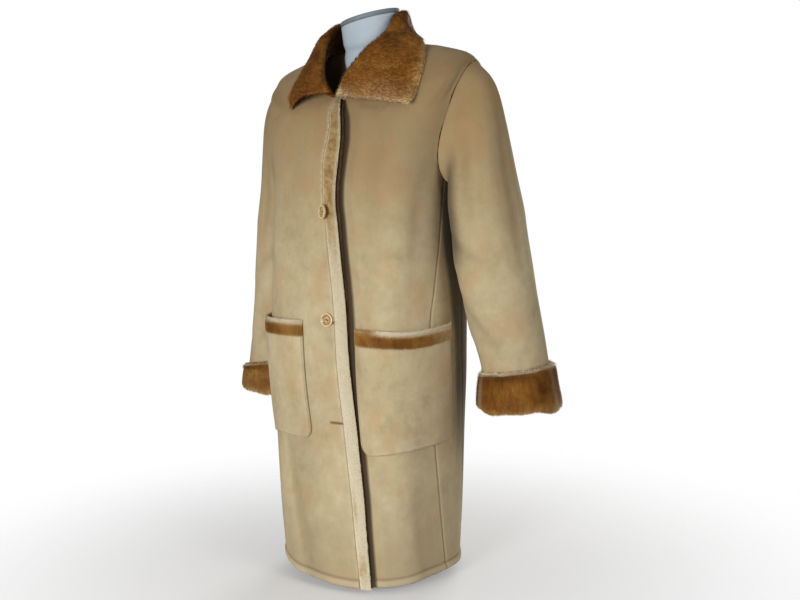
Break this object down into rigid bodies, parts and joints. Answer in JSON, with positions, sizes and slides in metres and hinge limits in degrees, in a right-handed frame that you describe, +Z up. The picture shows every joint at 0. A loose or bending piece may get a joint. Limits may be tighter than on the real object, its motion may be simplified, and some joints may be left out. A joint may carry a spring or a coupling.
{
  "type": "faux shearling coat on dress form",
  "caption": "Long suede coat with a pile collar, pile cuffs and patch pockets, buttoned right over left on a limbless dress form with a pole and round foot.",
  "frame": {"origin": "centre of the underside of the stand's round foot, on the floor", "axes": "+Z up, -Y the way the coat faces, +X the wearer's left"},
  "size_m": [0.8002, 0.3347, 1.1488],
  "materials": {
    "suede": "matt suede with a soft mottled nap, bonded to pile",
    "pile": "dense short pile, orange brown with paler tips",
    "pile_edge": "short pile edging, cream with brown parts",
    "button": "glossy horn-like gold brown",
    "form": "smooth pale grey blue",
    "metal": "plain grey metal"
  },
  "bodies": {
    "root": {"right_front": "suede", "left_front": "suede", "right_side_front": "suede", "left_side_front": "suede", "back": "suede", "right_sleeve": "suede", "left_sleeve": "suede", "right_pocket": "suede", "left_pocket": "suede", "collar": "pile", "right_cuff": "pile", "left_cuff": "pile", "right_pocket_band": "pile", "left_pocket_band": "pile", "front_edge_pile": "pile_edge", "upper_button": "button", "lower_button": "button", "dress_form": "form", "form_neck_cap": "metal", "form_pole": "metal", "form_foot": "metal"}
  },
  "joints": []
}
